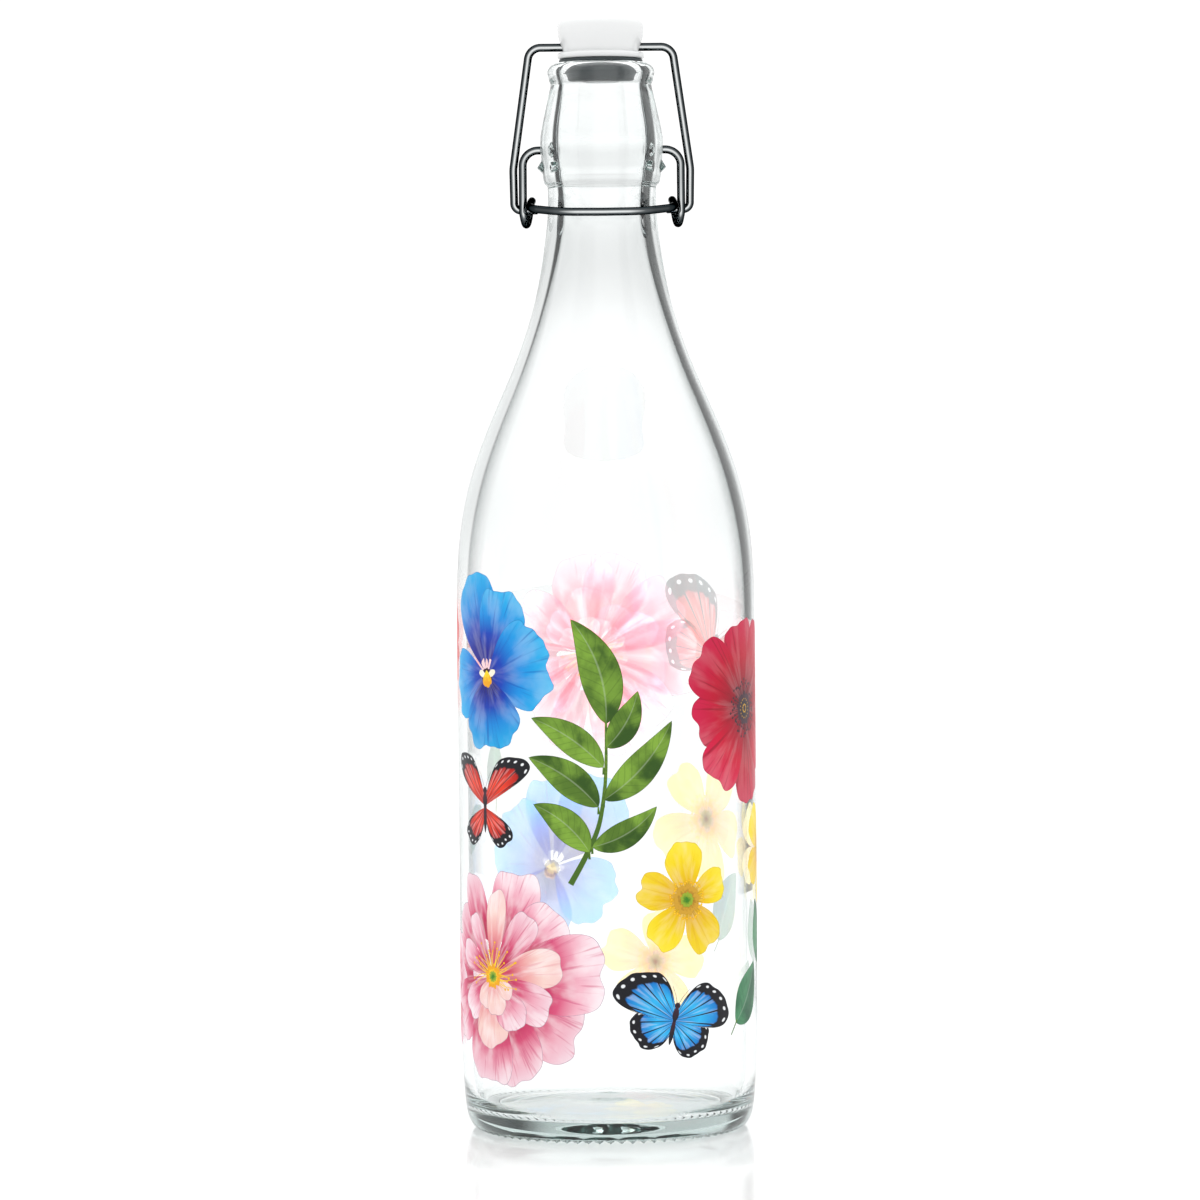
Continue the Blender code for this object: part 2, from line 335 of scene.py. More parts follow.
def inner_wall():
    """From the mouth down the inside of the neck, shoulder and body to the floor's middle."""
    walls = eased(
        [(11.9, 300.8), (11.6, 299.4), (10.9, 297.4), (MOUTH_R + 0.6, 294.0), (11.6, 289.0),
         (12.3, 283.0), (12.2, 276.0), (11.4, 269.0), (10.8, 262.5), (11.2, 256.0), (12.5, 249.5),
         (14.6, 241.0), (18.0, 229.0), (23.0, 214.5), (28.8, 201.0),
         (34.0, 187.0), (37.5, 173.5), (39.2, 160.0), (39.7, 146.0), (39.7, 132.0)],
        [(240, 6.0), (258, 3.5)])
    straight = [(39.7, 124.0 - 10 * i) for i in range(5)]
    corner = smooth([(39.7, 76.0), (39.6, 58.0), (39.4, 40.0), (39.0, 24.0), (38.6, 13.0), (37.2, 8.0),
                     (33.6, 5.9), (20.0, 7.6), (0, 9.6)], 7)
    return walls + straight + corner


def bottle_profile():
    """From the axis under the base, out and up to the lip, then down the inside to the floor."""
    punt = smooth([(0, 4.6), (14, 3.7), (25, 1.6), (RING_IN_R - 0.8, 0.25), (RING_IN_R, 0)], 4)
    collar = smooth([(NECK_R + 0.04, 267.4), (15.7, 267.8), (16.35, 268.5), (16.75, 270.4)], 5)
    collar += smooth([(16.9, 272.4), (17.3, 276.0), (17.5, 280.0), (16.9, 284.3), (15.8, 289.4),
                      (14.5, 295.2), (14.35, 296.1)], 8)
    lip = smooth([(14.42, 296.6), (14.75, 297.3)], 2) + arc(LIP_R - 2.4, 299.6, 2.4, -28, 80, 12)
    top = [(13.3, HEIGHT - 0.02), (12.9, HEIGHT)]
    mouth = arc(12.6, HEIGHT - 0.6, 0.6, 80, 165, 5)
    whole = punt + outer_wall() + collar + lip + top + mouth + inner_wall()
    return [tuple(float(v) for v in p) for p in whole]


SURFACE_R, SURFACE_Z = np.array(outer_wall()).T


def bottle_details(radii, heights, angle):
    """Teeth around the heel, the ledge under each pivot and the pivot's dimple, on the outer surface."""
    z, r = heights[0], radii[0]
    if r > 33 and z < 3.4:
        fade = math.sin(math.pi * min(max((r - RING_OUT_R + 2.6) / 4.4, 0), 1)) ** 0.6
        wave = 0.5 + 0.5 * np.cos(TEETH * angle + 1.1 * (r - RING_OUT_R))
        heights = heights + 1.15 * fade * (1 - wave)
        radii = radii - 0.60 * fade * (1 - wave)
    if 268 < z < 284 and r > 14:
        across = radii * np.sin(angle)
        beside = np.abs(np.cos(angle))
        ledge = np.clip((277.4 - z) / 4.6, 0, 1) if z > 272.8 else np.clip((z - 270.0) / 2.8, 0, 1)
        lateral = 1 / (1 + np.exp((np.abs(across) - 3.0) / 0.28))
        target = 15.6 + 2.75 * ledge
        lifted = np.maximum(radii, target)
        radii = np.where(beside > 0.9, radii + (lifted - radii) * lateral, radii)
        away = np.hypot(across, z - PIVOT.z)
        hole = 1 / (1 + np.exp((away - 1.62) / 0.07))
        radii = np.where(beside > 0.9, radii - (radii - 14.9) * hole, radii)
    return radii, heights


def refine(profile, low, high, step):
    """Adds points to the profile's outer side, so that no step between low and high exceeds step."""
    out = [profile[0]]
    for a, b in zip(profile, profile[1:]):
        length = math.dist(a, b)
        parts = max(1, math.ceil(length / step)) if low < a[1] < high and a[0] > 14 else 1
        out += [tuple(a[i] + (b[i] - a[i]) * n / parts for i in range(2)) for n in range(1, parts + 1)]
    return out


def make_bottle():
    profile = refine(bottle_profile(), 268.5, 283.0, 0.33)
    bottle = turned("bottle_body", profile, SEGMENTS, glass_material(), bottle_details)
    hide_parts("glass_bottle")
    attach(bottle, "bottle")
    return bottle


# ---------------------------------------------------------------- stopper and gasket
def make_stopper():
    """White head with a waist, a thin flange and a barbed stem, drilled for the bail."""
    stem = [(0, 295.2), (4.0, 295.2), (4.3, 295.3), (5.2, 296.6), (5.2, 297.2), (4.1, 297.5), (4.0, 298.0),
            (4.0, 303.4)]
    flange = [(4.2, 303.6), (11.8, 303.5), (12.1, 303.6), (12.3, 303.9), (12.3, 304.75), (12.15, 305.05),
              (11.8, 305.2)]
    waist = [(10.95, 305.2), (10.72, 305.35)]
    head = smooth([(10.7, 305.6), (11.5, 308.0), (12.1, 310.2), (12.3, 312.2)], 6)
    crown = arc(12.3 - 2.9, 312.6, 2.9, 0, 78, 12)
    top = smooth([(9.6, 315.47), (5.0, 315.58), (0, 315.6)], 4)
    profile = [tuple(float(v) for v in p) for p in stem + flange + waist + head + crown + top]
    stopper = turned("stopper_head", profile, 128, stopper_material())
    hole_r = WIRE_R + 0.3
    rod = [(0, -20), (hole_r, -20), (hole_r, 20), (0, 20)]
    hole = turned("bail_hole", rod, 32, stopper.data.materials[0])
    hole.data.transform(Matrix.Rotation(math.pi / 2, 4, "Y"))
    hole.data.transform(Matrix.Translation(CROSSBAR * MM))
    cut = stopper.modifiers.new("bail_hole", "BOOLEAN")
    cut.operation = "DIFFERENCE"
    cut.object = hole
    bpy.context.view_layer.update()
    solved = stopper.evaluated_get(bpy.context.evaluated_depsgraph_get())
    drilled = bpy.data.meshes.new_from_object(solved)
    stopper.modifiers.clear()
    stopper.data = drilled
    bpy.data.objects.remove(hole)
    drilled.set_sharp_from_angle(angle=math.radians(40))
    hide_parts("stopper")
    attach(stopper, "closure")


def make_gasket():
    """Soft ring around the stem: a rounded flange on the lip and a tapered plug in the mouth."""
    outline = [(4.3, 303.5), (4.3, 298.1), (4.5, 297.9), (8.6, 297.9), (8.9, 298.0), (11.0, 301.7),
               (11.3, 302.3), (11.5, 302.5), (11.7, 302.6), (11.8, 302.7), (11.85, 302.9), (11.8, 303.15),
               (11.6, 303.35), (4.5, 303.35)]
    sides, count = 96, len(outline)
    angle = np.arange(sides) * math.tau / sides
    verts = [(r * math.cos(a), r * math.sin(a), z) for r, z in outline for a in angle]
    faces = []
    for i in range(count):
        low, high = i * sides, (i + 1) % count * sides
        for k in range(sides):
            j = (k + 1) % sides
            faces.append([low + k, low + j, high + j, high + k])
    gasket = add_mesh("gasket_ring", verts, faces, gasket_material())
    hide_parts("gasket")
    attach(gasket, "closure")


# ---------------------------------------------------------------- wires
EYE_Y, EYE_Z, EYE_R = HOOK.y, 260.2, 3.3
ARM_X, EYE_PITCH = 22.4, 2.55
THUMB_Y, THUMB_Z = -19.0, 259.6


def mirrored(route):
    """The whole wire, from the half that ends on the middle plane x = 0."""
    return route + [Vector((-p.x, p.y, p.z)) for p in reversed(route[:-1])]


def make_bail(look):
    half = filleted([
        ((18.2, EYE_Y, HOOK.z), 0),
        ((24.9, EYE_Y, HOOK.z), 2.0),
        ((25.1, EYE_Y * 0.74, 272.5), 12.0),
        ((20.2, 0, CROSSBAR.z), 3.6),
        ((0, 0, CROSSBAR.z), 0),
    ])
    bail = tube("bail", mirrored(half), look)
    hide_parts("bail_wire")
    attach(bail, "bail")


def make_lever(look):
    turn = []
    for i in range(41):
        share = i / 40
        angle = math.radians(180 + 270 * share)
        turn.append(Vector((ARM_X - EYE_PITCH * share,
                            EYE_Y + EYE_R * math.cos(angle), EYE_Z + EYE_R * math.sin(angle))))
    arm = filleted([
        ((15.4, 0, PIVOT.z), 0),
        ((ARM_X, 0, PIVOT.z), 4.4),
        ((ARM_X, -0.9, PIVOT.z - 8.0), 20.0),
        (turn[0], 0),
    ])
    bar = filleted([
        (turn[-1], 0),
        ((ARM_X - EYE_PITCH, -3.0, EYE_Z + EYE_R - 0.1), 12.0),
        ((20.6, THUMB_Y + 6.4, THUMB_Z + 1.3), 5.0),
        ((11.0, THUMB_Y + 0.6, THUMB_Z + 0.1), 16.0),
        ((0, THUMB_Y, THUMB_Z), 0),
    ])
    lever = tube("lever", mirrored(arm[:-1] + turn[:-1] + bar), look)
    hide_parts("lever_wire")
    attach(lever, "lever")


# ---------------------------------------------------------------- printed flowers: the paints
def plug(link, value, socket):
    """Sets a socket to a number or colour, or links an output to it."""
    if isinstance(value, bpy.types.NodeSocket):
        link(value, socket)
    else:
        socket.default_value = value


def blended(nodes, link, share, first, second, kind="MIX"):
    """A colour between first and second."""
    mix = nodes.new("ShaderNodeMix")
    mix.data_type, mix.blend_type = "RGBA", kind
    plug(link, share, mix.inputs[0])
    plug(link, first, mix.inputs[6])
    plug(link, second, mix.inputs[7])
    return mix.outputs[2]


def ranged(nodes, link, value, from_low, from_high, to_low=0.0, to_high=1.0):
    """Maps from_low..from_high to to_low..to_high, softly and without going past the ends."""
    change = nodes.new("ShaderNodeMapRange")
    change.interpolation_type = "SMOOTHSTEP"
    link(value, change.inputs["Value"])
    limits = {"From Min": from_low, "From Max": from_high, "To Min": to_low, "To Max": to_high}
    for name, number in limits.items():
        change.inputs[name].default_value = number
    return change.outputs["Result"]


def maths(nodes, link, operation, *values):
    node = nodes.new("ShaderNodeMath")
    node.operation = operation
    for value, socket in zip(values, node.inputs):
        plug(link, value, socket)
    return node.outputs[0]


def attribute(nodes, name):
    node = nodes.new("ShaderNodeAttribute")
    node.attribute_name = name
    return node.outputs["Fac"]


def ramped(nodes, link, value, stops):
    """A colour along the stops (position, red, green, blue)."""
    node = nodes.new("ShaderNodeValToRGB")
    for position, red, green, blue in stops[1:-1]:
        node.color_ramp.elements.new(position)
    for element, (position, red, green, blue) in zip(node.color_ramp.elements, stops):
        element.position = position
        element.color = (red, green, blue, 1)
    link(value, node.inputs["Fac"])
    return node.outputs["Color"]


def streaks(nodes, link, count, stretch):
    """Noise in fine lines that run from a petal's heart to its edge."""
    join = nodes.new("ShaderNodeCombineXYZ")
    link(maths(nodes, link, "MULTIPLY", attribute(nodes, "across"), count), join.inputs[0])
    link(maths(nodes, link, "MULTIPLY", attribute(nodes, "along"), stretch), join.inputs[1])
    link(maths(nodes, link, "MULTIPLY", attribute(nodes, "shade"), 37.0), join.inputs[2])
    noise = nodes.new("ShaderNodeTexNoise")
    noise.inputs["Scale"].default_value = 1.0
    noise.inputs["Detail"].default_value = 3.0
    link(join.outputs[0], noise.inputs["Vector"])
    return noise.outputs["Fac"]


def finish_paint(nodes, link, shader, colour, outline, outline_mm):
    """Adds the thin outline, the skin of fired enamel, and the pale underside that lets daylight through,
    lifted with painted light.
    """
    rim = ranged(nodes, link, attribute(nodes, "rim"), outline_mm, outline_mm * 1.6, 0.75, 0.0)
    colour = blended(nodes, link, rim, colour, (*outline, 1))
    link(colour, shader.inputs["Base Color"])
    shader.inputs["Specular IOR Level"].default_value = 0.25
    grain = add_noise(nodes, link, 1800, 3.0)
    link(spread(nodes, link, grain, 0.34, 0.52), shader.inputs["Roughness"])
    add_bump(nodes, link, shader, grain, 0.15, 0.00003)
    through = nodes.new("ShaderNodeBsdfTranslucent")
    pale = blended(nodes, link, UNDERSIDE_VEIL, colour, (1, 1, 1, 1))
    # painted light: the underside colour is multiplied by UNDERSIDE_GLOW
    link(blended(nodes, link, 1.0, pale, (*[UNDERSIDE_GLOW] * 3, 1), "MULTIPLY"), through.inputs["Color"])
    side = nodes.new("ShaderNodeMixShader")
    link(nodes.new("ShaderNodeNewGeometry").outputs["Backfacing"], side.inputs["Fac"])
    link(shader.outputs["BSDF"], side.inputs[1])
    link(through.outputs["BSDF"], side.inputs[2])
    link(side.outputs["Shader"], nodes["Material Output"].inputs["Surface"])


def petal_paint(name, stops, vein, vein_share=0.45, outline=(0.36, 0.30, 0.33), wash=0.30):
    """Watercolour-like petal: colour from heart to edge, a blotchy wash, and veins."""
    made, nodes, link, shader, _ = new_material(name)
    colour = ramped(nodes, link, attribute(nodes, "along"), stops)
    broad = ranged(nodes, link, streaks(nodes, link, 2.2, 1.6), 0.42, 0.68, 0.0, wash)
    colour = blended(nodes, link, broad, colour, (1, 1, 1, 1))
    lines = ranged(nodes, link, streaks(nodes, link, 15.0, 1.1), 0.54, 0.70, 0.0, vein_share)
    colour = blended(nodes, link, lines, colour, (*vein, 1))
    depth = ranged(nodes, link, attribute(nodes, "shade"), 0.0, 1.0, 0.0, 0.35)
    colour = blended(nodes, link, depth, colour, (*vein, 1), "MULTIPLY")
    finish_paint(nodes, link, shader, colour, outline, 0.09)
    return made


def leaf_paint(name, dark, light):
    """Watercolour-like leaf: dark and light washes, a pale midrib and faint side veins."""
    made, nodes, link, shader, _ = new_material(name)
    across, along = attribute(nodes, "across"), attribute(nodes, "along")
    pool = ranged(nodes, link, add_noise(nodes, link, 105, 5.0), 0.38, 0.62)
    half = ranged(nodes, link, across, -0.25, 0.25, 0.30, 0.0)
    share = maths(nodes, link, "ADD", maths(nodes, link, "MULTIPLY", pool, 0.75), half)
    colour = blended(nodes, link, share, (*dark, 1), (*light, 1))
    slant = maths(nodes, link, "SUBTRACT", along, maths(nodes, link, "MULTIPLY", maths(
        nodes, link, "ABSOLUTE", across), 0.16))
    wave = maths(nodes, link, "SINE", maths(nodes, link, "MULTIPLY", slant, 62.0))
    colour = blended(nodes, link, ranged(nodes, link, wave, 0.80, 1.0, 0.0, 0.28), colour, (*dark, 1))
    rib = ranged(nodes, link, maths(nodes, link, "ABSOLUTE", across), 0.02, 0.07, 0.22, 0.0)
    colour = blended(nodes, link, rib, colour, (*[0.5 + 0.5 * c for c in light], 1))
    finish_paint(nodes, link, shader, colour, [0.5 * c for c in dark], 0.10)
    return made


def wing_paint(name, inner, outer, cells):
    """Butterfly wing: bright field cut by dark veins, and a dark edge with pale spots."""
    made, nodes, link, shader, _ = new_material(name)
    across, along = attribute(nodes, "across"), attribute(nodes, "along")
    ink = (0.006, 0.006, 0.010, 1)
    colour = ramped(nodes, link, along, [(0.0, *outer), (0.45, *inner), (0.80, *outer)])
    wash = ranged(nodes, link, streaks(nodes, link, 9.0, 2.0), 0.48, 0.70, 0.0, 0.22)
    colour = blended(nodes, link, wash, colour, (1, 1, 1, 1))
    cell = maths(nodes, link, "PINGPONG", maths(nodes, link, "MULTIPLY", across, cells), 0.5)
    colour = blended(nodes, link, ranged(nodes, link, cell, 0.035, 0.085, 1.0, 0.0), colour, ink)
    wobble = maths(nodes, link, "MULTIPLY", streaks(nodes, link, 6.0, 0.5), 0.16)
    edge = ranged(nodes, link, maths(nodes, link, "ADD", along, wobble), 0.84, 0.88)
    colour = blended(nodes, link, edge, colour, ink)
    spot_across = maths(
        nodes, link, "PINGPONG", maths(nodes, link, "MULTIPLY", across, cells * 1.5), 0.5)
    spot_along = maths(nodes, link, "MULTIPLY", maths(nodes, link, "SUBTRACT", along, 0.92), 7.0)
    away = maths(nodes, link, "POWER", maths(nodes, link, "ADD", maths(
        nodes, link, "POWER", maths(nodes, link, "SUBTRACT", 0.5, spot_across), 2.0), maths(
        nodes, link, "POWER", spot_along, 2.0)), 0.5)
    spots = ranged(nodes, link, away, 0.14, 0.22, 0.9, 0.0)
    colour = blended(nodes, link, spots, colour, (0.9, 0.93, 0.95, 1))
    finish_paint(nodes, link, shader, colour, (0.01, 0.01, 0.015), 0.16)
    return made


def spot_paint(name, centre, edge):
    """A mottled disc or fine stroke."""
    made, nodes, link, shader, _ = new_material(name)
    grain = add_noise(nodes, link, 1400, 4.0)
    share = maths(nodes, link, "ADD", attribute(nodes, "along"), spread(nodes, link, grain, -0.45, 0.45))
    colour = ramped(nodes, link, share, [(0.25, *centre), (0.75, *edge)])
    finish_paint(nodes, link, shader, colour, [0.6 * c for c in edge], 0.03)
    return made


# ---------------------------------------------------------------- printed flowers: the shapes
class Motif:
    """One printed motif, made of painted patches laid over each other and wrapped round the bottle.

    turn is its place round the bottle in degrees, from the front to the right; height is in millimetres.
    """

    def __init__(self, name, turn, height, tilt=0.0, size=1.0, seed=1):
        self.name, self.turn, self.height, self.size = name, turn, height, size
        self.tilt = math.radians(tilt)
        self.chance = np.random.default_rng(seed)
        self.verts, self.faces, self.face_looks, self.looks = [], [], [], []
        self.facts = {"across": [], "along": [], "rim": [], "shade": []}
        self.layer = 0

    def patch(self, x, y, look, across, along, rim, shade=None, rise=1.0):
        """Adds a grid of points, x and y being 2-D arrays in the motif's own plane.

        rise is how many layers of paint it adds under the next patch.
        """
        cos, sin = math.cos(self.tilt), math.sin(self.tilt)
        right, up = (x * cos - y * sin) * self.size, (x * sin + y * cos) * self.size
        angle = math.radians(self.turn) + right / BODY_R
        z = self.height + up
        lift = min(LOWEST_LAYER + LAYER * self.layer, INK)
        radius = np.interp(z, SURFACE_Z, SURFACE_R) + lift
        start = len(self.verts)
        across_x, depth_y = radius * np.sin(angle), -radius * np.cos(angle)
        self.verts += list(zip(across_x.ravel(), depth_y.ravel(), z.ravel()))
        rows, columns = x.shape
        for i in range(rows - 1):
            for j in range(columns - 1):
                a = start + i * columns + j
                self.faces.append((a, a + 1, a + columns + 1, a + columns))
        if look not in self.looks:
            self.looks.append(look)
        self.face_looks += [self.looks.index(look)] * ((rows - 1) * (columns - 1))
        tone = self.chance.random() if shade is None else shade
        for name, values in (("across", across), ("along", along), ("rim", rim * self.size)):
            self.facts[name] += list(np.broadcast_to(values, x.shape).ravel())
        self.facts["shade"] += [tone] * x.size
        self.layer += rise

    def petal(self, look, direction, length, half_angle, base=(0, 0), square=2.6, ruffle=0.03,
              notch=0.0, lean=0.0, shade=None, true_share=False, heart=0.0, core=0.0):
        """A petal from base, pointing direction degrees anticlockwise from up.

        It opens to half_angle each side. heart is the share of its length that keeps the first colour.
        The petal leaves a hole of radius core.
        """
        a = np.sin(np.linspace(-math.pi / 2, math.pi / 2, 61))
        swing = a * math.radians(half_angle)
        phase = self.chance.random(3) * math.tau
        edge = (1 - np.abs(a) ** square) ** 0.5 * (1 + lean * a)
        edge *= 1 + ruffle * (np.sin(7 * swing * 1.7 + phase[0]) + 0.6 * np.sin(17 * swing + phase[1])
                              + 0.35 * np.sin(31 * swing + phase[2]))
        edge *= 1 - notch * np.exp(-(a / 0.16) ** 2)
        share = np.linspace(core / length, 1, max(9, int(length / 1.2)))[:, None]
        out = share * edge * length
        turned_by = swing - math.radians(direction)
        x, y = base[0] + out * np.sin(turned_by), base[1] + out * np.cos(turned_by)
        rim = (1 - share) * edge * length * (0.35 + 0.65 * (1 - np.abs(a)))
        along = np.broadcast_to(share, out.shape)
        if not true_share:
            along = np.maximum(out / length - heart, 0) / (1 - heart)
        self.patch(x, y, look, a, along, rim, shade)

    def disc(self, look, radius, centre=(0, 0), ruffle=0.04, shade=None):
        """A round spot with a slightly wavy rim."""
        turn = -np.linspace(0, math.tau, 49)
        edge = 1 + ruffle * np.sin(9 * turn + 1) + ruffle * np.sin(14 * turn)
        share = np.linspace(0, 1, 7)[:, None]
        x = centre[0] + share * edge * radius * np.cos(turn)
        y = centre[1] + share * edge * radius * np.sin(turn)
        self.patch(x, y, look, np.sin(turn), np.broadcast_to(share, x.shape), (1 - share) * radius,
                   shade, 1.0 if radius > 0.8 else 0.02)

    def leaf(self, look, base, tip, width, bow=0.0, fullness=0.8, shade=None):
        """A pointed leaf from base to tip; bow bends its midrib sideways."""
        base, tip = np.array(base, float), np.array(tip, float)
        t = np.linspace(0, 1, 33)[:, None]
        reach = tip - base
        sideways = np.array((reach[1], -reach[0]))
        spine = base + t * reach + 4 * t * (1 - t) * bow * sideways
        ahead = reach + 4 * (1 - 2 * t) * bow * sideways
        ahead /= np.linalg.norm(ahead, axis=1)[:, None]
        half = width / 2 * np.sin(math.pi * t ** fullness) ** 0.85 + 0.01
        across = np.linspace(-1, 1, 15)[None, :]
        x = spine[:, :1] + ahead[:, 1:] * half * across
        y = spine[:, 1:] - ahead[:, :1] * half * across
        self.patch(x, y, look, np.broadcast_to(across, x.shape), np.broadcast_to(t, x.shape),
                   (1 - np.abs(across)) * half, shade)

    def stroke(self, look, points, start_width, end_width):
        """A fine tapering brush line through the points."""
        line = np.array(smooth(points, 8))
        ahead = np.gradient(line, axis=0)
        ahead /= np.linalg.norm(ahead, axis=1)[:, None]
        share = np.linspace(0, 1, len(line))[:, None]
        half = (start_width + (end_width - start_width) * share) / 2
        across = np.array([[-1.0, 0.0, 1.0]])
        x = line[:, :1] + ahead[:, 1:] * half * across
        y = line[:, 1:] - ahead[:, :1] * half * across
        self.patch(x, y, look, np.broadcast_to(across, x.shape), np.broadcast_to(share * 0.6, x.shape),
                   np.full(x.shape, 0.5), 0.5, 0.02)

    def print_on(self):
        """Makes the object and fixes it to the bottle."""
        made = add_mesh(self.name, self.verts, self.faces, self.looks[0])
        for look in self.looks[1:]:
            made.data.materials.append(look)
        made.data.polygons.foreach_set("material_index", self.face_looks)
        for name, values in self.facts.items():
            made.data.attributes.new(name, "FLOAT", "POINT").data.foreach_set("value", values)
        made.visible_shadow = False
        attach(made, "bottle")


# ---------------------------------------------------------------- printed flowers: the kinds
def make_paints():
    return {
        "azure": petal_paint("azure_petal", [(0.0, 0.01, 0.01, 0.26), (0.28, 0.004, 0.05, 0.45),
                                             (0.58, 0.005, 0.27, 0.72), (1.0, 0.02, 0.45, 0.82)],
                             (0.003, 0.07, 0.42), 0.5, (0.01, 0.16, 0.45), 0.14),
        "blush": petal_paint("blush_petal", [(0.0, 0.50, 0.01, 0.08), (0.30, 0.68, 0.09, 0.20),
                                             (0.60, 0.86, 0.42, 0.52), (1.0, 0.93, 0.76, 0.82)],
                             (0.62, 0.06, 0.18), 0.55, (0.30, 0.17, 0.26), 0.45),
        "cream": petal_paint("cream_petal", [(0.0, 0.60, 0.06, 0.12), (0.30, 0.82, 0.34, 0.34),
                                             (0.65, 0.91, 0.66, 0.60), (1.0, 0.90, 0.64, 0.62)],
                             (0.75, 0.22, 0.28), 0.40, (0.42, 0.24, 0.30), 0.40),
        "crimson": petal_paint("crimson_petal", [(0.0, 0.03, 0.0, 0.008), (0.25, 0.30, 0.0, 0.015),
                                                 (0.60, 0.58, 0.0, 0.030), (1.0, 0.68, 0.012, 0.08)],
                               (0.24, 0.0, 0.012), 0.60, (0.32, 0.01, 0.05), 0.10),
        "butter": petal_paint("butter_petal", [(0.0, 0.42, 0.22, 0.0), (0.35, 0.80, 0.50, 0.0),
                                               (0.70, 0.90, 0.68, 0.01), (1.0, 0.93, 0.76, 0.04)],
                              (0.72, 0.36, 0.0), 0.35, (0.50, 0.36, 0.02), 0.15),
        "salmon": petal_paint("salmon_petal", [(0.0, 0.55, 0.03, 0.05), (0.5, 0.72, 0.13, 0.14),
                                               (1.0, 0.80, 0.22, 0.22)],
                              (0.60, 0.05, 0.07), 0.35, (0.50, 0.16, 0.18), 0.25),
        "leaf": leaf_paint("green_leaf", (0.030, 0.085, 0.008), (0.22, 0.40, 0.045)),
        "sage": leaf_paint("sage_leaf", (0.015, 0.10, 0.045), (0.07, 0.26, 0.12)),
        "sky_wing": wing_paint("sky_wing", (0.03, 0.46, 0.86), (0.005, 0.17, 0.58), 2.5),
        "fire_wing": wing_paint("fire_wing", (0.80, 0.05, 0.02), (0.42, 0.006, 0.006), 2.5),
        "yolk": spot_paint("yolk_spot", (0.95, 0.68, 0.02), (0.85, 0.38, 0.01)),
        "green_spot": spot_paint("green_spot", (0.05, 0.22, 0.015), (0.30, 0.42, 0.03)),
        "brown_spot": spot_paint("brown_spot", (0.30, 0.14, 0.01), (0.62, 0.34, 0.03)),
        "coal": spot_paint("coal_spot", (0.012, 0.012, 0.018), (0.05, 0.015, 0.03)),
        "milk": spot_paint("milk_spot", (0.95, 0.93, 0.86), (0.90, 0.84, 0.66)),
        "stem": spot_paint("stem_stroke", (0.06, 0.14, 0.015), (0.16, 0.28, 0.03)),
    }


def pansy(paints, name, turn, height, tilt, size, seed):
    """Five broad ruffled petals, dark towards a small yellow eye."""
    flower = Motif(name, turn, height, tilt, size, seed)
    blue = paints["azure"]
    flower.petal(blue, 14, 27, 36, (0, 1), 3.6, 0.020, shade=0.3, heart=0.30, core=4)
    flower.petal(blue, -24, 23, 38, (0, 1), 3.4, 0.022, shade=0.1, heart=0.25, core=4)
    flower.petal(blue, 100, 18.5, 52, (-0.5, 0.5), 3.8, 0.034, shade=0.0, core=2)
    flower.petal(blue, -82, 21, 58, (0.5, 0.5), 3.8, 0.034, shade=0.1, core=2)
    flower.petal(blue, 180, 20, 56, (0, 0.5), 3.8, 0.030, 0.04, shade=0.4, heart=0.22, core=2)
    flower.disc(paints["coal"], 2.3)
    flower.petal(paints["milk"], 62, 4.2, 24, (0.3, -0.4), 2.0, 0.02)
    flower.petal(paints["milk"], -62, 4.2, 24, (-0.3, -0.4), 2.0, 0.02)
    flower.petal(paints["yolk"], 180, 4.6, 46, (0, 1.8), 2.6, 0.03)
    for angle in range(-50, 51, 10):
        lean = math.radians(angle)
        line = [(3.0 * math.sin(lean), -3.0 * math.cos(lean)), (5.2 * math.sin(lean), -5.2 * math.cos(lean)),
                (7.6 * math.sin(lean * 1.05), -7.6 * math.cos(lean * 1.05))]
        flower.stroke(paints["coal"], line, 0.16, 0.03)
    flower.print_on()


def peony(paints, name, turn, height, tilt, size, seed):
    """Wide cupped petals, deep pink in the heart, round a tuft of yellow stamens set low on one side."""
    flower = Motif(name, turn, height, tilt, size, seed)
    outer = [(80, 27, 26), (48, 26, 22), (-20, 32, 26), (22, 30, 19), (-52, 30, 25), (-122, 33, 30),
             (-88, 36, 32), (-160, 31, 32), (124, 28, 30), (172, 30, 33)]
    for i, (direction, length, half) in enumerate(outer):
        flower.petal(paints["blush"], direction, length, half, (0, 0), 3.4, 0.020, 0.02,
                     flower.chance.uniform(-0.08, 0.08), shade=0.1 + 0.35 * (i % 2), heart=0.50, core=11)
    inner = [(66, 18, 22), (32, 20, 15), (-4, 24, 17), (-40, 23, 20), (-78, 24, 24), (128, 17, 30),
             (-116, 22, 27), (178, 20, 36), (-146, 17, 34)]
    for i, (direction, length, half) in enumerate(inner):
        look = paints["cream" if i in (2, 4, 7) else "blush"]
        lean, shade = flower.chance.uniform(-0.1, 0.1), 0.5 * flower.chance.random()
        flower.petal(look, direction, length, half, (0, 0), 3.0, 0.018, 0.0, lean, shade, heart=0.30, core=2.6)
    for direction, length, half in ((150, 10, 36), (-170, 11, 40), (-125, 9, 30)):
        flower.petal(paints["cream"], direction, length, half, (0, 0), 2.6, 0.015, shade=0.3, core=2.6)
    for i in range(30):
        angle = math.radians(-35 + 215 * i / 29) + flower.chance.uniform(-0.08, 0.08)
        reach = flower.chance.uniform(5.5, 10.5)
        bend = flower.chance.uniform(-0.25, 0.25)
        tip = (reach * math.cos(angle + bend), reach * math.sin(angle + bend))
        middle = (0.5 * reach * math.cos(angle), 0.5 * reach * math.sin(angle))
        flower.stroke(paints["yolk"], [(0, 0), middle, tip], 0.36, 0.12)
        flower.disc(paints["yolk"], 0.34, tip)
    flower.disc(paints["yolk"], 3.2, ruffle=0.10)
    flower.disc(paints["green_spot"], 1.5, ruffle=0.10)
    flower.print_on()


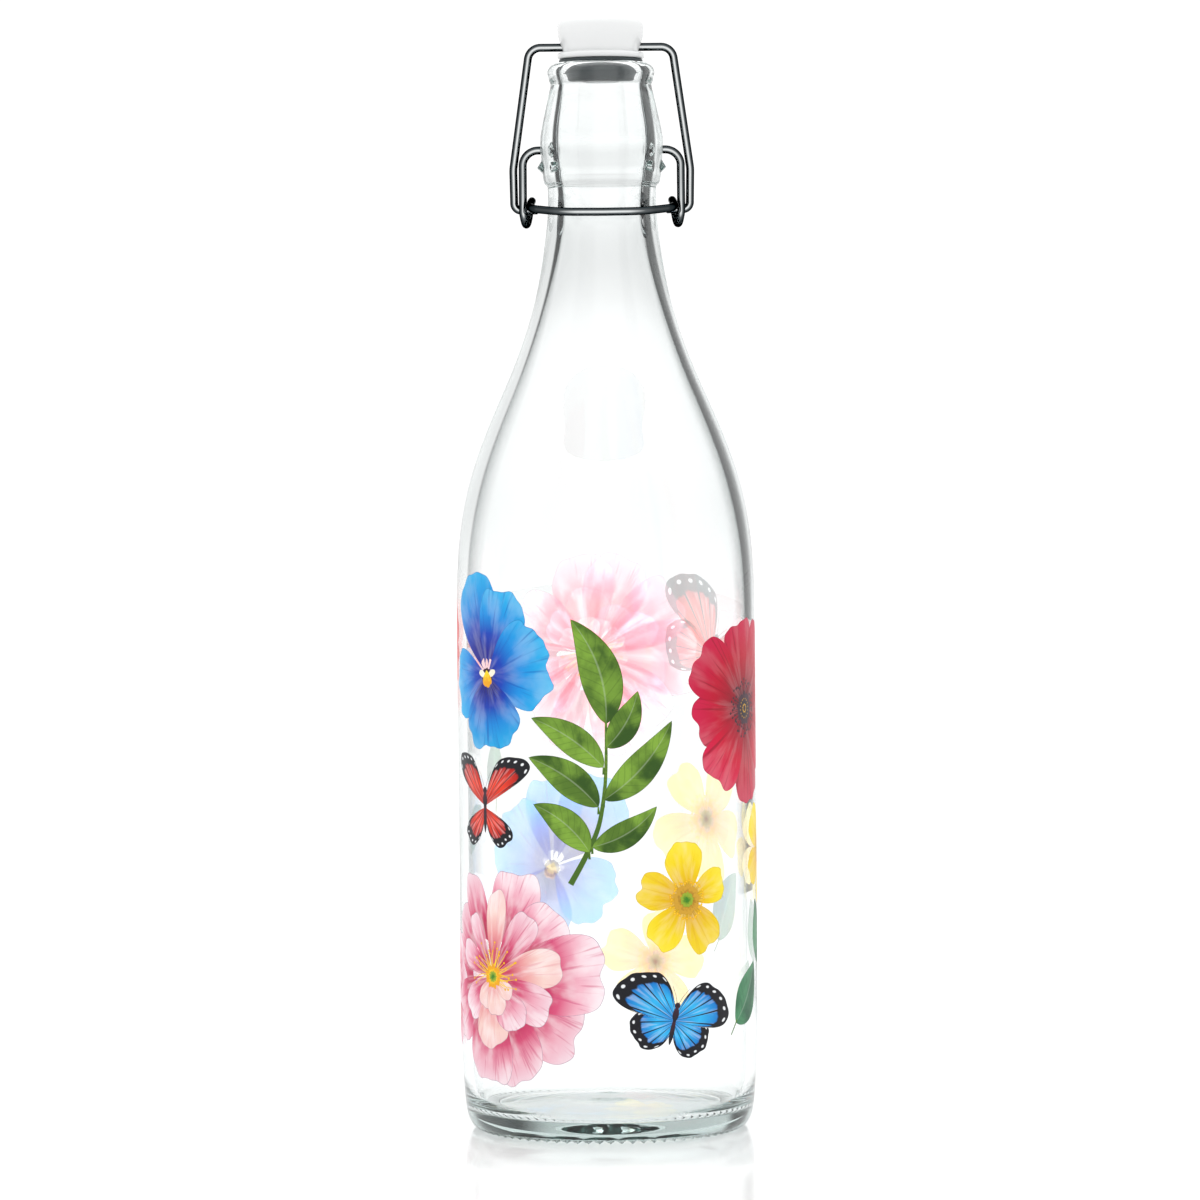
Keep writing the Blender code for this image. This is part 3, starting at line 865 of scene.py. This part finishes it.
def anemone(paints, name, turn, height, tilt, size, seed, colour="crimson"):
    """Eight wide petals round a black heart with a ring of dark stamens."""
    flower = Motif(name, turn, height, tilt, size, seed)
    for i in list(range(0, 8, 2)) + list(range(1, 8, 2)):
        length = 24 + 2.2 * math.sin(2.1 * i)
        flower.petal(paints[colour], 45 * i, length, 32, (0, 0), 4.0, 0.022, 0.03,
                     flower.chance.uniform(-0.06, 0.06), shade=0.1 + 0.6 * flower.chance.random(), core=3.4)
    for i in range(60):
        angle = math.tau * i / 60 + flower.chance.uniform(-0.05, 0.05)
        reach = flower.chance.uniform(5.2, 8.0)
        tip = (reach * math.cos(angle), reach * math.sin(angle))
        flower.stroke(paints["coal"], [(0, 0), (tip[0] / 2, tip[1] / 2), tip], 0.20, 0.10)
        flower.disc(paints["coal"], 0.36, tip)
    flower.disc(paints["coal"], 4.3, ruffle=0.07)
    for i in range(16):
        angle = math.tau * i / 16
        flower.disc(paints["brown_spot"], 0.22, (2.6 * math.cos(angle), 2.6 * math.sin(angle)))
    flower.disc(paints["brown_spot"], 1.2, ruffle=0.1)
    flower.disc(paints["coal"], 0.85)
    flower.print_on()


def buttercup(paints, name, turn, height, tilt, size, seed):
    """Five round yellow petals, a brown ring of stamens and a green heart."""
    flower = Motif(name, turn, height, tilt, size, seed)
    petals = [(5, 16.5, 38), (75, 15.5, 36), (142, 16, 35), (212, 16.5, 38), (290, 14.5, 36)]
    for i, (direction, length, half) in enumerate(petals):
        flower.petal(paints["butter"], direction, length, half, (0, 0), 3.2, 0.022, 0.05 * (i % 2),
                     flower.chance.uniform(-0.06, 0.06), shade=0.55 * (i % 2), core=3.2)
    for i in range(40):
        angle = math.tau * i / 40 + flower.chance.uniform(-0.05, 0.05)
        reach = flower.chance.uniform(4.6, 6.0)
        tip = (reach * math.cos(angle), reach * math.sin(angle))
        flower.stroke(paints["brown_spot"], [(0, 0), (tip[0] / 2, tip[1] / 2), tip], 0.22, 0.12)
        flower.disc(paints["yolk"], 0.36, tip)
    flower.disc(paints["brown_spot"], 4.3, ruffle=0.07)
    flower.disc(paints["green_spot"], 2.1, ruffle=0.07)
    flower.print_on()


def butterfly(paints, name, turn, height, tilt, size, wings, seed, fold=1.0):
    """Open wings seen from above; fold narrows them sideways."""
    insect = Motif(name, turn, height, tilt, size, seed)
    look = paints[wings]
    for side in (1, -1):
        insect.petal(look, side * (121 + 42 * (1 - fold)), 14.5, 46 * fold, (side * 0.8, 0.6),
                     3.0, 0.016, lean=0.14 * side, shade=0.4, true_share=True)
        insect.petal(look, side * (55 - 34 * (1 - fold)), 20.0, 37 * fold, (side * 0.8, 0.4), 4.4, 0.012,
                     lean=0.30 * -side, shade=0.1, true_share=True)
        insect.stroke(paints["coal"], [(0, 5), (-side * 1.2, 8.0), (-side * 3.0, 10.8)], 0.16, 0.10)
    insect.leaf(paints["coal"], (0, -7.0), (0, 3.0), 1.5, 0, 0.8)
    insect.leaf(paints["coal"], (0, 0.0), (0, 5.2), 2.1, 0, 0.9)
    insect.disc(paints["coal"], 0.95, (0, 5.2))
    insect.print_on()


def sprig(paints):
    """Upright stem with one long leaf on top and three pairs below."""
    twig = Motif("leaf_sprig", -4, 96, 0, 1.0, 5)
    stem = [(-7.6, -23), (-3.4, -15.5), (0.2, -7.5), (1.9, 1), (2.6, 10), (2.7, 22)]
    twig.stroke(paints["stem"], stem, 1.7, 0.7)
    leaves = [((2.7, 21.5), (-7.0, 50.5), 11.5, 0.10), ((1.9, 9.5), (-19.0, 23.0), 8.6, 0.07),
              ((0.4, -1.5), (-20.0, 12.0), 9.4, 0.08), ((-2.2, -14.0), (-18.6, -1.0), 8.6, 0.09),
              ((2.7, 15.0), (11.6, 30.5), 8.0, 0.08), ((1.9, 0.5), (21.5, 22.0), 9.2, 0.07),
              ((-1.4, -12.5), (16.8, -1.6), 7.6, 0.09)]
    for base, tip, width, bow in leaves:
        twig.stroke(paints["stem"], [(base[0], base[1] - 2.0), base], 0.7, 0.5)
        twig.leaf(paints["leaf"], base, tip, width, bow)
    twig.print_on()


def lone_leaf(paints, name, turn, height, tilt, length, width):
    """One broad leaf on a short stalk."""
    leaf = Motif(name, turn, height, tilt, 1.0, 3)
    leaf.leaf(paints["sage"], (0, -length / 2), (0, length / 2), width, 0.06, 0.85)
    leaf.stroke(paints["stem"], [(0.3, -length / 2 - 4), (0, -length / 2 + 1)], 0.4, 0.5)
    leaf.print_on()


def make_print():
    """Every motif: first those on the front, then those on the back, which are seen through the glass."""
    paints = make_paints()
    pansy(paints, "pansy_left", -52, 130, 4, 1.05, 11)
    peony(paints, "peony_low", -50, 46, 0, 1.0, 12)
    anemone(paints, "anemone_right", 66, 120, 8, 1.04, 13)
    buttercup(paints, "buttercup_front", 31, 68, 0, 0.98, 14)
    buttercup(paints, "buttercup_right", 88, 79, 40, 0.95, 15)
    butterfly(paints, "butterfly_left", -54, 93, 0, 0.98, "fire_wing", 16, 0.62)
    butterfly(paints, "butterfly_front", 25, 34, -14, 0.92, "sky_wing", 17)
    sprig(paints)
    lone_leaf(paints, "leaf_right_low", 66, 40, -40, 21, 12.5)
    lone_leaf(paints, "leaf_right_high", 80, 56, 10, 19, 11)
    peony(paints, "peony_back", 186, 133, 180, 1.0, 21)
    pansy(paints, "pansy_back", 204, 70, 24, 1.12, 22)
    buttercup(paints, "buttercup_back_high", 134, 85, 30, 1.25, 23)
    buttercup(paints, "buttercup_back_low", 160, 42, 75, 1.05, 24)
    anemone(paints, "anemone_back", 256, 137, 30, 0.82, 25, "salmon")
    butterfly(paints, "butterfly_back", 132, 133, 40, 1.25, "fire_wing", 26)
    lone_leaf(paints, "leaf_back_a", 118, 60, 30, 24, 13)
    lone_leaf(paints, "leaf_back_b", 234, 101, 0, 18, 9)
    lone_leaf(paints, "leaf_back_c", 258, 84, 50, 20, 11)
    peony(paints, "peony_back_low", 262, 38, 60, 0.62, 27)
    butterfly(paints, "butterfly_back_low", 232, 36, 20, 0.9, "sky_wing", 28)


# ---------------------------------------------------------------- studio
def make_floor():
    """Pale glossy floor."""
    made, nodes, link, shader, _ = new_material("pale_floor")
    shader.inputs["Base Color"].default_value = (0.94, 0.94, 0.94, 1)
    shader.inputs["Roughness"].default_value = 0.10
    mesh = bpy.data.meshes.new("floor")
    reach = 12.0
    corners = [(-reach, -reach, 0), (reach, -reach, 0), (reach, reach, 0), (-reach, reach, 0)]
    mesh.from_pydata(corners, [], [[0, 1, 2, 3]])
    mesh.materials.append(made)
    floor = bpy.data.objects.new("floor", mesh)
    floor.location.z = -0.0002
    bpy.context.collection.objects.link(floor)


def make_world():
    """White studio, a little greyer above the horizon where it is seen through the glass."""
    world = bpy.data.worlds.new("studio")
    bpy.context.scene.world = world
    world.use_nodes = True
    nodes, link = world.node_tree.nodes, world.node_tree.links.new
    split = nodes.new("ShaderNodeSeparateXYZ")
    link(nodes.new("ShaderNodeTexCoord").outputs["Generated"], split.inputs[0])
    change = ranged(nodes, link, split.outputs["Z"], -0.05, 0.17, 0.07, -0.26)
    through_glass = nodes.new("ShaderNodeLightPath").outputs["Is Transmission Ray"]
    strength = maths(nodes, link, "ADD", 1.10, maths(nodes, link, "MULTIPLY", change, through_glass))
    nodes["Background"].inputs["Color"].default_value = (1, 1, 1, 1)
    link(strength, nodes["Background"].inputs["Strength"])


def make_card(name, bearing, half_width, shade):
    """A soft-edged dark card, seen only by light that stays within the bottle's wall.

    bearing is in degrees, anticlockwise from +X.
    """
    made, nodes, link, shader, output = new_material(name)
    nodes.remove(shader)
    paint = nodes.new("ShaderNodeEmission")
    paint.inputs["Color"].default_value = (shade, shade * 1.06, shade * 1.06, 1)
    clear = nodes.new("ShaderNodeBsdfTransparent")
    cover = nodes.new("ShaderNodeMixShader")
    edge = ranged(nodes, link, attribute(nodes, "edge"), 1.0, 0.45)
    crossings = nodes.new("ShaderNodeLightPath").outputs["Transmission Depth"]
    within_wall = maths(nodes, link, "LESS_THAN", crossings, 2.5)
    link(maths(nodes, link, "MULTIPLY", edge, within_wall), cover.inputs["Fac"])
    link(clear.outputs["BSDF"], cover.inputs[1])
    link(paint.outputs["Emission"], cover.inputs[2])
    link(cover.outputs["Shader"], output.inputs["Surface"])
    away, top, columns = 620.0, 900.0, 24
    share = np.linspace(-1, 1, columns)
    angles = np.radians(bearing + half_width * share)
    verts = [(away * math.cos(a), away * math.sin(a), z) for z in (0.5, top) for a in angles]
    faces = [(i, i + 1, columns + i + 1, columns + i) for i in range(columns - 1)]
    card = add_mesh(name, verts, faces, made)
    card.data.attributes.new("edge", "FLOAT", "POINT").data.foreach_set("value", np.tile(np.abs(share), 2))
    card.visible_camera = card.visible_diffuse = card.visible_glossy = card.visible_shadow = False


def make_cards():
    """A narrow black card behind on the left, a wide grey one behind on the right, and the same in front."""
    for turn in (0, 180):
        make_card(f"black_card_{turn}", 143 + turn, 15, 0.01)
        make_card(f"grey_card_{turn}", 51 + turn, 26, 0.06)


def make_lights():
    """A broad soft light above."""
    lamp = bpy.data.lights.new("top_softbox", "AREA")
    lamp.shape, lamp.size, lamp.size_y = "RECTANGLE", 1.6, 1.2
    lamp.energy = 9.0
    top = bpy.data.objects.new("top_softbox", lamp)
    top.location = (0.0, 0.1, 1.5)
    top.visible_camera = False
    bpy.context.collection.objects.link(top)


def make_camera():
    """Level with the shoulder, and looking slightly down so that the whole bottle is in view."""
    distance, eye_height = 1.40, 0.207
    data = bpy.data.cameras.new("camera")
    data.sensor_width = 36.0
    data.lens = 147.7
    data.clip_start, data.clip_end = 0.1, 50
    camera = bpy.data.objects.new("camera", data)
    bpy.context.collection.objects.link(camera)
    aim = Vector((-0.0016, 0.0, 0.1501))
    camera.location = (aim.x, -distance, eye_height)
    direction = aim - camera.location
    camera.rotation_mode = "QUATERNION"
    roll = Quaternion((0, 0, 1), math.radians(-0.52))
    camera.rotation_quaternion = direction.to_track_quat("-Z", "Y") @ roll
    bpy.context.scene.camera = camera


def main():
    scene = bpy.context.scene
    scene.view_settings.view_transform = "Standard"
    cycles = scene.cycles
    cycles.max_bounces = cycles.transmission_bounces = cycles.glossy_bounces = 64
    cycles.transparent_max_bounces = 32
    make_camera()
    make_world()
    make_lights()
    make_floor()
    make_cards()
    make_bottle()
    make_print()
    make_stopper()
    make_gasket()
    wire = wire_material()
    make_bail(wire)
    make_lever(wire)


main()
